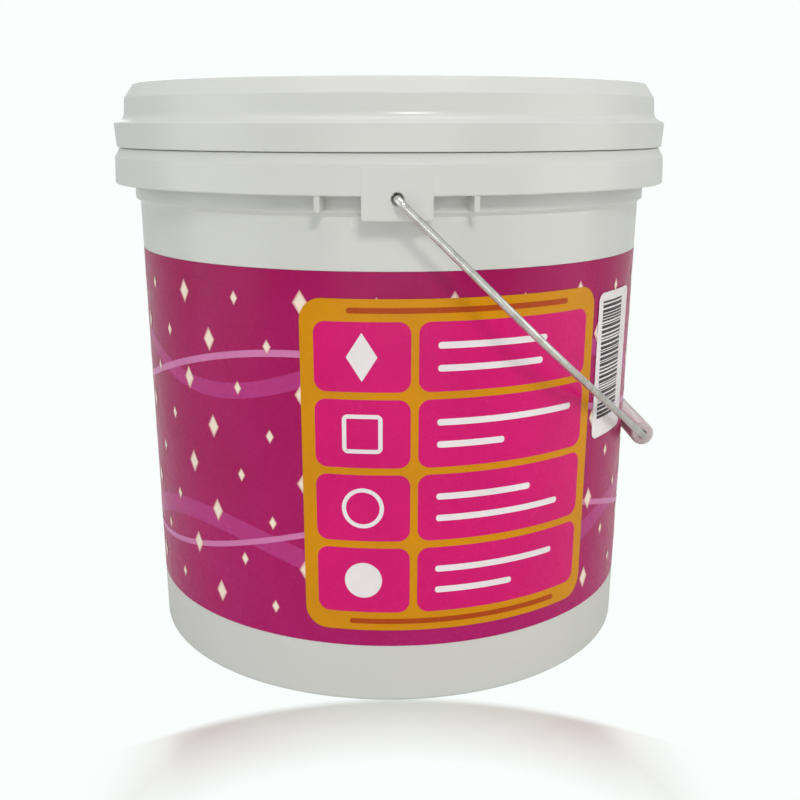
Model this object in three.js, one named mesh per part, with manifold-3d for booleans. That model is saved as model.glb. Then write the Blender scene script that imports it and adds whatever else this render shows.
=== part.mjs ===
// A round laundry detergent pail: a tapered bucket with a collar and two ears, a printed label moulded
// into its wall, a stepped snap lid, and a wire bail with a plastic grip that hangs against the wall.
// Millimetres, +Z up. The origin is the centre of the underside, and the ears stand at -Y and +Y.
import * as THREE from "three";
import { mergeVertices } from "three/addons/utils/BufferGeometryUtils.js";
import Module from "manifold-3d";

const wasm = await Module();
wasm.setup();

// Pail wall
const BASE_RADIUS = 117.2;
const TAPER = THREE.MathUtils.degToRad(1.33);
const WALL = 2.0;
const FLOOR = 2.4;
const FOOT_RECESS = 3.6;
const FOOT_WIDTH = 4.2;
const FOOT_ROUND = 2.2;
const INNER_ROUND = 6;

// Label: a thin film that fills a shallow recess in the wall
const LABEL_BOTTOM = 26.4;
const LABEL_HEIGHT = 163.5;
const LABEL_FILM = 0.3;
const LABEL_GAP = 0.25;
const LABEL_SEAM = 1.6;

// Collar, its skirt and the thick ring under it
const COLLAR_BOTTOM = 220.3;
const COLLAR_OVERHANG = 11.0;
const COLLAR_BAND = 12.2;
const COLLAR_DRAFT = 0.3;
const COLLAR_WALL = 1.9;
const COLLAR_ROUND = 1.2;
const BEVEL_RISE = 4.3;
const BEVEL_INSET = 2.6;
const RING_STEP = 2.1;
const RING_DROP = 8.7;
const RING_CHAMFER = 1.8;

// Rim inside the lid
const RIM_BEAD = 1.4;
const RIM_BEAD_HEIGHT = 11.5;
const RIM_ROUND = 1.6;

// Lid
const LID_GAP = 1.1;
const LID_WALL = 1.7;
const SKIRT_SETBACK = 1.3;
const SKIRT_HEIGHT = 10.2;
const SHOULDER_SETBACK = 0.4;
const NECK_CLEARANCE = 1.9;
const NECK_RISE = 11.3;
const NECK_FOOT = 2.1;
const NECK_ROUND = 6;
const TOP_CHAMFER_RISE = 6.4;
const TOP_CHAMFER_INSET = 4.1;
const RECESS_DEPTH = 9.2;
const STACKING_GAP = 1.2;
const PLUG_DROP = 6.5;
const PANEL_STEP_RADIUS = 82;
const PANEL_STEP = 1.1;
const SNAP_RING = 0.9;
const SNAP_CLEARANCE = 0.35;
const RIM_HEADROOM = 1.6;

// Ears and the ribs beside them
const EAR_WIDTH = 27.9;
const EAR_DROP = 9.6;
const EAR_WALL = 1.8;
const EAR_HOLE_RADIUS = 2.5;
const EAR_HOLE_BEVEL = 0.5;
const HOLE_BELOW_COLLAR = 0.9;
const RIB_ANGLE = THREE.MathUtils.degToRad(13.6);
const RIB_WIDTH = 2.4;
const RIB_DROP = 6.4;

// Bail and grip
const WIRE_RADIUS = 1.6;
const BAIL_REACH = 175.5;
const BAIL_CLEARANCE = 4.7;
const KNEE = 85;
const KNEE_RADIUS = 180;
const EAR_BEND = 3.4;
const GRIP_BEND = 6;
const HOOK_LENGTH = 5;
const HOOK_BEND = 2.2;
const HOOK_CLEARANCE = 0.8;
const GRIP_RADIUS = 5.6;
const GRIP_LENGTH = 70;
const GRIP_ROUND = 1.6;
const GRIP_BORE = 2.1;
const GRIP_PLAY = 1.2;
const GRIP_WALL_GAP = 0.3;

// Facets
const ROUND_SEGMENTS = 60;
const WIRE_SIDES = 10;
const HOLE_SIDES = 24;
const FILLET_STEPS = 3;
const BEND_STEPS = 10;

// Heights and radii that follow from the sizes above
const LABEL_TOP = LABEL_BOTTOM + LABEL_HEIGHT;
const COLLAR_RADIUS = wallRadius(COLLAR_BOTTOM) + COLLAR_OVERHANG;
const COLLAR_TOP = COLLAR_BOTTOM + COLLAR_BAND;
const BEVEL_TOP = COLLAR_TOP + BEVEL_RISE;
const CHANNEL_TOP = BEVEL_TOP - COLLAR_WALL;
const SKIRT_INSIDE = COLLAR_RADIUS - COLLAR_WALL;
const RING_BOTTOM = COLLAR_BOTTOM - RING_DROP;
const RING_RADIUS = wallRadius(RING_BOTTOM) + RING_STEP;
const LID_SKIRT_BOTTOM = BEVEL_TOP + LID_GAP;
const SHOULDER = LID_SKIRT_BOTTOM + SKIRT_HEIGHT;
const TIER_EDGE = SHOULDER + NECK_RISE;
const LID_TOP = TIER_EDGE + TOP_CHAMFER_RISE;
const RIM_RADIUS = wallRadius(BEVEL_TOP) + RIM_BEAD;
const NECK_INSIDE = RIM_RADIUS + NECK_CLEARANCE;
const NECK_RADIUS = NECK_INSIDE + LID_WALL;
const TOP_RADIUS = NECK_RADIUS - TOP_CHAMFER_INSET;
const SKIRT_RADIUS = COLLAR_RADIUS - SKIRT_SETBACK;
const SHOULDER_RADIUS = COLLAR_RADIUS - SHOULDER_SETBACK;
const BAIL_HALF_WIDTH = COLLAR_RADIUS + BAIL_CLEARANCE;
const RIM_TOP = LID_TOP - LID_WALL - RIM_HEADROOM;
const RIM_BEAD_BOTTOM = RIM_TOP - RIM_BEAD_HEIGHT;
const FLOOR_TOP = FOOT_RECESS + FLOOR;
const RECESS_RADIUS = BASE_RADIUS + STACKING_GAP;
const PANEL_TOP = LID_TOP - RECESS_DEPTH;
const EAR_BOTTOM = COLLAR_BOTTOM - EAR_DROP;
const EAR_HEIGHT = COLLAR_BOTTOM - HOLE_BELOW_COLLAR;

// The angle below the horizontal at which the bail hangs: the grip then just clears the tapered wall.
const GRIP_STAND_OFF = wallRadius(EAR_HEIGHT) + (GRIP_RADIUS + GRIP_WALL_GAP) / Math.cos(TAPER);
const BAIL_ANGLE = TAPER + Math.acos((GRIP_STAND_OFF * Math.cos(TAPER)) / BAIL_REACH);

// The outer radius of the tapered wall at a height.
function wallRadius(height) {
  return BASE_RADIUS + Math.tan(TAPER) * height;
}

// Stations along a chain of [x, y, radius] corners. A corner with a radius becomes an arc, stepped
// finely enough for its turn, and each station keeps the direction of travel.
function roundedChain(corners, stepsPerQuarter = FILLET_STEPS) {
  const points = corners.map(([x, y]) => new THREE.Vector2(x, y));
  const stations = [];
  corners.forEach(([, , radius = 0], i) => {
    const corner = points[i];
    const before = points[i - 1] ?? corner;
    const after = points[i + 1] ?? corner;
    const arriving = corner.clone().sub(before).normalize();
    const leaving = after.clone().sub(corner).normalize();
    if (!radius) {
      stations.push({ at: corner, along: i ? arriving : leaving });
      return;
    }
    const turn = Math.atan2(arriving.cross(leaving), arriving.dot(leaving));
    const start = corner.clone().addScaledVector(arriving, -radius * Math.tan(Math.abs(turn) / 2));
    const side = Math.sign(turn);
    const centre = start.clone().add(new THREE.Vector2(-arriving.y, arriving.x).multiplyScalar(side * radius));
    const steps = Math.max(2, Math.ceil((Math.abs(turn) / (Math.PI / 2)) * stepsPerQuarter));
    for (let k = 0; k <= steps; k++) {
      const angle = (turn * k) / steps;
      const origin = new THREE.Vector2();
      stations.push({
        at: start.clone().rotateAround(centre, angle),
        along: arriving.clone().rotateAround(origin, angle),
      });
    }
  });
  return stations;
}

// A manifold solid from a closed geometry, with its shared vertices merged.
function solid(geometry) {
  const bare = geometry.index ? geometry.toNonIndexed() : geometry;
  for (const name of ["normal", "uv"]) bare.deleteAttribute(name);
  const merged = mergeVertices(bare, 1e-4);
  return new wasm.Manifold(
    new wasm.Mesh({
      numProp: 3,
      vertProperties: new Float32Array(merged.attributes.position.array),
      triVerts: new Uint32Array(merged.index.array),
    }),
  );
}

// A flat-shaded geometry from a manifold solid.
function geometryOf(made) {
  const { vertProperties, triVerts } = made.getMesh();
  const geometry = new THREE.BufferGeometry();
  geometry.setAttribute("position", new THREE.BufferAttribute(vertProperties, 3));
  geometry.setIndex(new THREE.BufferAttribute(triVerts, 1));
  const flat = geometry.toNonIndexed();
  flat.computeVertexNormals();
  return flat;
}

// A solid turned about Z from a half outline of [radius, height, corner radius] values, listed
// anticlockwise with the radius to the right. It ends on the axis or closes on its first corner.
function revolve(corners, segments = ROUND_SEGMENTS) {
  const outline = roundedChain(corners).map(({ at }) => at);
  return solid(new THREE.LatheGeometry(outline, segments).rotateX(Math.PI / 2));
}

// A ring with a square section between two radii and two heights.
function ring(inside, outside, bottom, top) {
  return revolve([
    [inside, bottom],
    [outside, bottom],
    [outside, top],
    [inside, top],
    [inside, bottom],
  ]);
}

// An upright block on the -Y side, centred on a direction measured from -Y towards +X.
function radialBlock(width, inside, outside, bottom, top, direction = 0) {
  const block = new THREE.BoxGeometry(width, outside - inside, top - bottom);
  block.translate(0, -(inside + outside) / 2, (bottom + top) / 2);
  return solid(block.rotateZ(direction));
}

// The same solid on the ears at -Y and +Y.
function onBothSides(made) {
  return made.add(made.rotate([0, 0, 180]));
}

// The bucket: foot ring, tapered wall with the label recess, thick ring, hanging collar and rim.
function bucket() {
  const footInside = BASE_RADIUS - FOOT_WIDTH;
  const labelSeat = LABEL_FILM + LABEL_GAP;
  const neck = wallRadius(BEVEL_TOP);
  return revolve([
    [0, FOOT_RECESS],
    [footInside - FOOT_RECESS / 2, FOOT_RECESS, FOOT_ROUND / 2],
    [footInside, 0, FOOT_ROUND / 3],
    [BASE_RADIUS, 0, FOOT_ROUND],
    [wallRadius(LABEL_BOTTOM), LABEL_BOTTOM],
    [wallRadius(LABEL_BOTTOM) - labelSeat, LABEL_BOTTOM],
    [wallRadius(LABEL_TOP) - labelSeat, LABEL_TOP],
    [wallRadius(LABEL_TOP), LABEL_TOP],
    [wallRadius(RING_BOTTOM), RING_BOTTOM],
    [RING_RADIUS, RING_BOTTOM + RING_CHAMFER],
    [RING_RADIUS, CHANNEL_TOP],
    [SKIRT_INSIDE, CHANNEL_TOP],
    [SKIRT_INSIDE, COLLAR_BOTTOM],
    [COLLAR_RADIUS, COLLAR_BOTTOM, COLLAR_ROUND],
    [COLLAR_RADIUS - COLLAR_DRAFT, COLLAR_TOP],
    [COLLAR_RADIUS - BEVEL_INSET, BEVEL_TOP, COLLAR_ROUND / 2],
    [neck, BEVEL_TOP],
    [neck, RIM_BEAD_BOTTOM],
    [RIM_RADIUS, RIM_BEAD_BOTTOM + RIM_BEAD],
    [RIM_RADIUS, RIM_TOP, RIM_ROUND],
    [neck - WALL, RIM_TOP, WALL / 2],
    [wallRadius(FLOOR_TOP) - WALL, FLOOR_TOP, INNER_ROUND],
    [0, FLOOR_TOP],
  ]);
}

// One ear at -Y: a hollow boss, open below, whose front lies flush with the collar.
function ear() {
  const outside = ring(RING_RADIUS - RING_STEP, COLLAR_RADIUS, EAR_BOTTOM, CHANNEL_TOP);
  const hollow = ring(RING_RADIUS, SKIRT_INSIDE, EAR_BOTTOM - EAR_WALL, CHANNEL_TOP);
  const across = (width) => radialBlock(width, RING_RADIUS - WALL, COLLAR_RADIUS + 1, EAR_BOTTOM - EAR_WALL, BEVEL_TOP);
  const boss = outside.intersect(across(EAR_WIDTH));
  return boss.subtract(hollow.intersect(across(EAR_WIDTH - 2 * EAR_WALL)));
}

// The hole for the wire through one ear's front wall, with a bevelled mouth.
function earHole() {
  const drill = new THREE.CylinderGeometry(EAR_HOLE_RADIUS, EAR_HOLE_RADIUS, 4 * COLLAR_WALL, HOLE_SIDES);
  drill.translate(0, -SKIRT_INSIDE - COLLAR_WALL / 2, EAR_HEIGHT);
  const wide = EAR_HOLE_RADIUS + 2 * EAR_HOLE_BEVEL;
  const mouth = new THREE.CylinderGeometry(EAR_HOLE_RADIUS, wide, 2 * EAR_HOLE_BEVEL, HOLE_SIDES);
  mouth.translate(0, -COLLAR_RADIUS, EAR_HEIGHT);
  return solid(drill).add(solid(mouth));
}

// A rib that ties the collar's skirt to the ring and reaches below the collar.
function rib(direction) {
  const inside = RING_RADIUS - RING_STEP - WALL / 2;
  const outside = COLLAR_RADIUS - COLLAR_ROUND / 2;
  return radialBlock(RIB_WIDTH, inside, outside, COLLAR_BOTTOM - RIB_DROP, CHANNEL_TOP + WALL / 2, direction);
}

function pailBody() {
  const added = ear().add(rib(RIB_ANGLE)).add(rib(-RIB_ANGLE));
  return bucket().add(onBothSides(added)).subtract(onBothSides(earHole()));
}

// The printed film, one turn round the wall with a narrow seam on the far side.
function label() {
  const inset = (height) => wallRadius(height) - LABEL_FILM;
  const bottom = LABEL_BOTTOM + LABEL_GAP;
  const top = LABEL_TOP - LABEL_GAP;
  const sleeve = revolve([
    [inset(bottom), bottom],
    [wallRadius(bottom), bottom],
    [wallRadius(top), top],
    [inset(top), top],
    [inset(bottom), bottom],
  ]);
  const seam = radialBlock(LABEL_SEAM, BASE_RADIUS / 2, COLLAR_RADIUS, 0, COLLAR_BOTTOM, Math.PI);
  return sleeve.subtract(seam);
}

// The lid: a recessed panel inside a stacking ring, a chamfered tier, a hollow-cheeked shoulder and
// a skirt, with a plug ring inside the mouth and a snap ring under the rim's bead.
function lid() {
  const plugOutside = RECESS_RADIUS + LID_WALL;
  const panelBottom = PANEL_TOP - LID_WALL;
  const ceiling = LID_TOP - LID_WALL;
  const chamferSlope = TOP_CHAMFER_INSET / TOP_CHAMFER_RISE;
  const snapRadius = RIM_RADIUS + SNAP_CLEARANCE;
  const shoulderCeiling = SHOULDER - LID_WALL;
  return revolve([
    [0, panelBottom + PANEL_STEP],
    [PANEL_STEP_RADIUS - PANEL_STEP, panelBottom + PANEL_STEP],
    [PANEL_STEP_RADIUS, panelBottom],
    [RECESS_RADIUS, panelBottom],
    [RECESS_RADIUS, panelBottom - PLUG_DROP],
    [plugOutside - LID_WALL / 3, panelBottom - PLUG_DROP, LID_WALL / 4],
    [plugOutside, panelBottom],
    [plugOutside, ceiling],
    [NECK_INSIDE - chamferSlope * (TOP_CHAMFER_RISE - LID_WALL / 2), ceiling],
    [NECK_INSIDE, TIER_EDGE - LID_WALL / 2],
    [NECK_INSIDE, shoulderCeiling + 2 * SNAP_RING],
    [snapRadius, shoulderCeiling + SNAP_RING],
    [snapRadius, shoulderCeiling],
    [NECK_INSIDE, shoulderCeiling - SNAP_RING],
    [SHOULDER_RADIUS - LID_WALL, shoulderCeiling - SNAP_RING, LID_WALL / 2],
    [SKIRT_RADIUS - LID_WALL, LID_SKIRT_BOTTOM],
    [SKIRT_RADIUS, LID_SKIRT_BOTTOM, LID_WALL / 3],
    [SHOULDER_RADIUS, SHOULDER, LID_WALL / 4],
    [NECK_RADIUS + LID_WALL / 3, SHOULDER + NECK_FOOT, NECK_ROUND],
    [NECK_RADIUS, TIER_EDGE, LID_WALL / 4],
    [TOP_RADIUS, LID_TOP, LID_WALL / 2],
    [RECESS_RADIUS + LID_WALL / 3, LID_TOP, LID_WALL / 4],
    [RECESS_RADIUS, PANEL_TOP, LID_WALL / 2],
    [PANEL_STEP_RADIUS, PANEL_TOP],
    [PANEL_STEP_RADIUS - PANEL_STEP, PANEL_TOP + PANEL_STEP],
    [0, PANEL_TOP + PANEL_STEP],
  ]);
}

// A path of straight runs and bends that is stepped at its own stations, so that only bends take steps.
class StationPath extends THREE.Curve {
  constructor(stations) {
    super();
    this.stations = stations;
  }

  station(t) {
    return this.stations[Math.round(t * (this.stations.length - 1))];
  }

  getPointAt(t, target = new THREE.Vector3()) {
    return target.copy(this.station(t).at);
  }

  getTangentAt(t, target = new THREE.Vector3()) {
    return target.copy(this.station(t).along);
  }
}

// The bail: one wire in its own plane, drawn with its reach along +X, from the hook inside one ear,
// out through the hole, round the knee, straight through the grip and back to the other ear.
function bailWire() {
  const hookPlace = SKIRT_INSIDE - WIRE_RADIUS - HOOK_CLEARANCE;
  const gripCorner = GRIP_LENGTH / 2 + GRIP_PLAY + GRIP_BEND / 2;
  const half = [
    [-HOOK_LENGTH, -hookPlace],
    [0, -hookPlace, HOOK_BEND],
    [0, -BAIL_HALF_WIDTH, EAR_BEND],
    [KNEE, -BAIL_HALF_WIDTH, KNEE_RADIUS],
    [BAIL_REACH, -gripCorner, GRIP_BEND],
  ];
  const otherHalf = half.map(([reach, across, radius]) => [reach, -across, radius]).reverse();
  const stations = roundedChain([...half, ...otherHalf], BEND_STEPS).map(({ at, along }) => ({
    at: new THREE.Vector3(at.x, at.y, 0),
    along: new THREE.Vector3(along.x, along.y, 0),
  }));
  const corner = (k) => new THREE.Vector2(WIRE_RADIUS, 0).rotateAround(new THREE.Vector2(), (2 * Math.PI * k) / WIRE_SIDES);
  const section = new THREE.Shape(Array.from({ length: WIRE_SIDES }, (_, k) => corner(k)));
  const wire = new THREE.ExtrudeGeometry(section, {
    steps: stations.length - 1,
    extrudePath: new StationPath(stations),
  });
  return solid(wire);
}

// The grip: a plain tube that turns on the wire, drawn upright about Z and centred on it.
function bailGrip() {
  const half = GRIP_LENGTH / 2;
  return revolve(
    [
      [GRIP_BORE, -half],
      [GRIP_RADIUS, -half, GRIP_ROUND],
      [GRIP_RADIUS, half, GRIP_ROUND],
      [GRIP_BORE, half],
      [GRIP_BORE, -half],
    ],
    HOLE_SIDES,
  );
}

const whitePlastic = new THREE.MeshStandardMaterial({ color: 0xdcddd8, roughness: 0.28 });
const printedFilm = new THREE.MeshStandardMaterial({ color: 0xb02a6c, roughness: 0.3 });
const zincWire = new THREE.MeshStandardMaterial({ color: 0xb4b4ae, roughness: 0.35, metalness: 1 });
const milkyPlastic = new THREE.MeshStandardMaterial({ color: 0xd3bfc3, roughness: 0.4 });

// A named mesh from a solid.
function piece(name, made, material) {
  const mesh = new THREE.Mesh(geometryOf(made), material);
  mesh.name = name;
  return mesh;
}

const pail = new THREE.Group();
pail.add(piece("pail_body", pailBody(), whitePlastic));
pail.add(piece("label", label(), printedFilm));
pail.add(piece("lid", lid(), whitePlastic));

// The bail's group turns about the ear axis, and the grip lies along the wire's straight run.
const bail = new THREE.Group();
bail.position.z = EAR_HEIGHT;
bail.rotation.y = BAIL_ANGLE;
bail.add(piece("bail_wire", bailWire(), zincWire));
const grip = piece("bail_grip", bailGrip(), milkyPlastic);
grip.position.x = BAIL_REACH;
grip.rotation.x = Math.PI / 2;
bail.add(grip);
pail.add(bail);

export default pail;
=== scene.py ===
"""The look of a round laundry detergent pail: tapered bucket, snap lid, printed wall and wire bail.

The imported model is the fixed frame, and every piece here is built round it in the same axes: +Z up,
the ears at -Y and +Y, the bail hanging at +X. Sizes in the classes are millimetres, and a mesh is
turned to metres where it is made. The print on the wall is a generic design of wavy ribbons, a
lattice of lozenges, plain fields, plain figures and bars.
"""
from __future__ import annotations

import logging
import math
from dataclasses import dataclass, field
from enum import Enum
from typing import Callable

import bpy
import numpy as np
from bpy.types import Material, Node, NodeSocket, NodeTree, Object
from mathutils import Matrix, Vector

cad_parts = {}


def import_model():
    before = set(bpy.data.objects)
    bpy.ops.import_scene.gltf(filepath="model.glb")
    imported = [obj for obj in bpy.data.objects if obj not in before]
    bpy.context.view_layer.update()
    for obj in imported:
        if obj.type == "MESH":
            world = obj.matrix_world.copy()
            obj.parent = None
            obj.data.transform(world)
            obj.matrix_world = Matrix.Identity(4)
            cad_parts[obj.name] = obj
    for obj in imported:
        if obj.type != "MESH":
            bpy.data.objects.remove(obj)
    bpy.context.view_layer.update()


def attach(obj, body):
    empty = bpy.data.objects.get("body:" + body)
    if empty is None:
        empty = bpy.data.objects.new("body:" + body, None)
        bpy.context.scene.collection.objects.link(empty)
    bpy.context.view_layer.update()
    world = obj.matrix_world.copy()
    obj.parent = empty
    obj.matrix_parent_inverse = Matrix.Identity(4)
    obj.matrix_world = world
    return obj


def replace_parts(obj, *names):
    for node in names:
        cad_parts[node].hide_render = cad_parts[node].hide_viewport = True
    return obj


LOG = logging.getLogger("pail")
MM = 0.001


class Slot(Enum):
    """The record's material slots."""

    WHITE = "white_plastic"
    FILM = "printed_film"
    WIRE = "zinc_wire"
    MILKY = "milky_plastic"


class Ink(Enum):
    """The plain inks of the label's panel, as sRGB hex values."""

    AMBER = "DB9400"
    PINK = "DC1474"
    PAPER = "F6F0F2"
    BRICK = "B4480C"
    CARBON = "3A3438"
    ROSE = "BE3A86"
    ORCHID = "DB82B8"


def linear(code: str) -> tuple[float, float, float, float]:
    """Turns an sRGB hex value to Blender's linear colour.

    Args:
        code: Six hex digits.

    Returns:
        Red, green, blue and 1, linear.
    """
    shares = np.array([int(code[i : i + 2], 16) / 255 for i in (0, 2, 4)])
    low, high = shares / 12.92, ((shares + 0.055) / 1.055) ** 2.4
    return (*np.where(shares <= 0.04045, low, high).tolist(), 1.0)


def add_node(tree: NodeTree, kind: str, settings: dict | None = None, links: dict | None = None) -> Node:
    """Adds a node, with its settings, its socket values and the sockets that feed it.

    Args:
        tree: The node tree that gets the node.
        kind: The node's Blender type.
        settings: Properties by name, and input values by socket name or number.
        links: The output socket that feeds each input, by input name or number.

    Returns:
        The new node.
    """
    node = tree.nodes.new(kind)
    for key, value in (settings or {}).items():
        if isinstance(key, str) and hasattr(node, key):
            setattr(node, key, value)
        else:
            node.inputs[key].default_value = value
    for key, socket in (links or {}).items():
        tree.links.new(socket, node.inputs[key])
    return node


@dataclass
class Surface:
    """Vertices in millimetres, their faces, and one (u, v) pair each.

    Args:
        points: Vertices, n by 3.
        quads: Vertex numbers, m by 4.
        triangles: Vertex numbers, k by 3.
        values: The (u, v) pair of each vertex, n by 2.
    """

    points: np.ndarray
    quads: np.ndarray
    triangles: np.ndarray
    values: np.ndarray

    @staticmethod
    def joined(parts: list["Surface"]) -> "Surface":
        """Puts several surfaces into one, with their vertex numbers moved on."""
        starts = np.cumsum([0] + [len(p.points) for p in parts[:-1]])
        return Surface(
            np.concatenate([p.points for p in parts]),
            np.concatenate([p.quads + s for p, s in zip(parts, starts)]),
            np.concatenate([p.triangles + s for p, s in zip(parts, starts)]),
            np.concatenate([p.values for p in parts]),
        )

    def flipped(self) -> "Surface":
        """Gives the same surface with its faces turned to the other side."""
        return Surface(self.points, self.quads[:, ::-1], self.triangles[:, ::-1], self.values)

    def corners(self) -> list[np.ndarray]:
        """Gives the three corners of every triangle, with each quad cut in two."""
        tri = np.concatenate([self.quads[:, [0, 1, 2]], self.quads[:, [0, 2, 3]], self.triangles])
        return [self.points[tri[:, i]] for i in range(3)]

    def outward(self) -> "Surface":
        """Turns a closed surface's faces out: the sum of its tetrahedra from the origin is then positive."""
        a, b, c = self.corners()
        volume = float(np.einsum("ij,ij->i", a, np.cross(b, c)).sum() / 6)
        return self if volume > 0 else self.flipped()

    def off_axis(self) -> "Surface":
        """Turns a sheet's faces away from the Z axis, by the sum of each normal along the line out."""
        a, b, c = self.corners()
        out = (a + b + c) * np.array([1.0, 1.0, 0.0])
        side = float(np.einsum("ij,ij->i", np.cross(b - a, c - a), out).sum())
        return self if side > 0 else self.flipped()


def patch(
    points: np.ndarray, values: np.ndarray | None = None, loop_rows: bool = False, loop_columns: bool = False,
) -> Surface:
    """Covers a grid of points with quads, each between two neighbouring rows and columns.

    Args:
        points: Rows by columns by 3.
        values: Rows by columns by 2, or the share of the way along each side where None.
        loop_rows: Whether the last row joins the first.
        loop_columns: Whether the last column joins the first.

    Returns:
        The surface.
    """
    rows, columns = points.shape[:2]
    number = np.arange(rows * columns).reshape(rows, columns)
    if values is None:
        values = np.stack(np.meshgrid(np.linspace(0, 1, columns), np.linspace(0, 1, rows)), -1)
    below = np.concatenate([number, number[:1]]) if loop_rows else number
    full = np.concatenate([below, below[:, :1]], 1) if loop_columns else below
    quads = np.stack([full[:-1, :-1], full[:-1, 1:], full[1:, 1:], full[1:, :-1]], -1).reshape(-1, 4)
    return Surface(points.reshape(-1, 3), quads, np.zeros((0, 3), int), values.reshape(-1, 2))


def tube(rings: np.ndarray, start: np.ndarray, end: np.ndarray) -> Surface:
    """Closes a stack of rings with a fan of triangles to a middle point at each end.

    Args:
        rings: Rings by points by 3.
        start: The middle point that closes the first ring.
        end: The middle point that closes the last ring.

    Returns:
        The closed surface, faces outwards.
    """
    skin = patch(rings, loop_columns=True)
    count, around = rings.shape[:2]
    first = np.arange(around)
    last = first + (count - 1) * around
    middle = count * around
    fans = np.concatenate([
        np.stack([np.full(around, middle), np.roll(first, -1), first], -1),
        np.stack([np.full(around, middle + 1), last, np.roll(last, -1)], -1),
    ])
    points = np.concatenate([skin.points, [start, end]])
    return Surface(points, skin.quads, fans, np.concatenate([skin.values, [[0.5, 0.0], [0.5, 1.0]]])).outward()


def rounded(corners: list[tuple], least: float = 0.35, steps: int = 5, support: float = 0.25) -> np.ndarray:
    """Walks a chain of corners and turns each into an arc: tangent length = radius times tan(half the turn).

    A supporting station stands just before and after each arc, so that shading stays flat up to it.

    Args:
        corners: (x, y) or (x, y, radius) of each corner.
        least: The radius of a corner that gives none.
        steps: Stations on an arc of a right angle.
        support: How far from the arc the supporting stations stand.

    Returns:
        The stations, n by 2.
    """
    spots = np.array([c[:2] for c in corners], float)
    stations = [spots[0]]
    for i in range(1, len(corners) - 1):
        arriving, leaving = spots[i] - spots[i - 1], spots[i + 1] - spots[i]
        before, after = np.linalg.norm(arriving), np.linalg.norm(leaving)
        arriving, leaving = arriving / before, leaving / after
        turn = math.atan2(arriving[0] * leaving[1] - arriving[1] * leaving[0], float(arriving @ leaving))
        radius = corners[i][2] if len(corners[i]) > 2 else least
        reach = min(abs(math.tan(turn / 2)) * radius, 0.42 * min(before, after))
        if abs(turn) < 0.05 or reach < 1e-4:
            stations.append(spots[i])
            continue
        radius = reach / abs(math.tan(turn / 2))
        first = spots[i] - arriving * reach
        centre = first + np.array([-arriving[1], arriving[0]]) * math.copysign(radius, turn)
        angle = turn * np.linspace(0, 1, max(3, math.ceil(abs(turn) / (math.pi / 2) * steps) + 1))
        arm = first - centre
        arc = centre + np.stack([
            arm[0] * np.cos(angle) - arm[1] * np.sin(angle),
            arm[0] * np.sin(angle) + arm[1] * np.cos(angle),
        ], -1)
        if before - reach > 2 * support:
            stations.append(first - arriving * support)
        stations.extend(arc)
        if after - reach > 2 * support:
            stations.append(arc[-1] + leaving * support)
    stations.append(spots[-1])
    return np.array(stations)


def turned(outline: np.ndarray, angles: np.ndarray) -> np.ndarray:
    """Turns an outline of (radius, height) about Z: x = r sin(a), y = -r cos(a), with a from -Y towards +X."""
    radius, height = outline[:, :1], outline[:, 1:]
    flat = np.ones_like(angles)[None]
    return np.stack([radius * np.sin(angles)[None], -radius * np.cos(angles)[None], height * flat], -1)


def make_piece(
    name: str, surface: Surface, material: Material, body: str, sharp: float = 32.0,
) -> Object:
    """Makes a mesh object from a surface, in metres, and sets it on its body.

    Args:
        name: The piece's name.
        surface: The surface in millimetres.
        material: The finish.
        body: The CAD body that the piece rides on.
        sharp: Edges that turn by more degrees than this stay sharp.

    Returns:
        The object.
    """
    piece = mesh_object(name, surface)
    piece.data.materials.append(material)
    piece.data.set_sharp_from_angle(angle=math.radians(sharp))
    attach(piece, body)
    LOG.info("%s: %d faces on %s", name, len(piece.data.polygons), body)
    return piece


def mesh_object(name: str, surface: Surface) -> Object:
    """Puts a surface's arrays into a new smooth mesh with a UV map, and links it."""
    mesh = bpy.data.meshes.new(name)
    loops = np.concatenate([surface.quads.ravel(), surface.triangles.ravel()]).astype(np.int32)
    sizes = np.concatenate([np.full(len(surface.quads), 4), np.full(len(surface.triangles), 3)])
    mesh.vertices.add(len(surface.points))
    mesh.vertices.foreach_set("co", (surface.points * MM).astype(np.float32).ravel())
    mesh.loops.add(len(loops))
    mesh.loops.foreach_set("vertex_index", loops)
    mesh.polygons.add(len(sizes))
    mesh.polygons.foreach_set("loop_start", (np.cumsum(sizes) - sizes).astype(np.int32))
    mesh.polygons.foreach_set("use_smooth", np.ones(len(sizes), bool))
    layer = mesh.uv_layers.new(name="UVMap")
    layer.data.foreach_set("uv", surface.values[loops].astype(np.float32).ravel())
    mesh.update(calc_edges=True)
    mesh.validate()
    piece = bpy.data.objects.new(name, mesh)
    bpy.context.scene.collection.objects.link(piece)
    return piece


def bored(piece: Object, cutter: Object) -> None:
    """Cuts one piece by another for good, and removes the cutter."""
    cut = piece.modifiers.new("bore", "BOOLEAN")
    cut.operation, cut.solver, cut.object = "DIFFERENCE", "EXACT", cutter
    bpy.context.view_layer.update()
    made = bpy.data.meshes.new_from_object(piece.evaluated_get(bpy.context.evaluated_depsgraph_get()))
    piece.modifiers.clear()
    piece.data = made
    bpy.data.objects.remove(cutter)


def new_material(name: str) -> tuple[Material, NodeTree, Node]:
    """Makes an empty node material with its output.

    Returns:
        The material, its tree and its output node.
    """
    material = bpy.data.materials.new(name)
    material.use_nodes = True
    material.node_tree.nodes.clear()
    return material, material.node_tree, add_node(material.node_tree, "ShaderNodeOutputMaterial")


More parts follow.
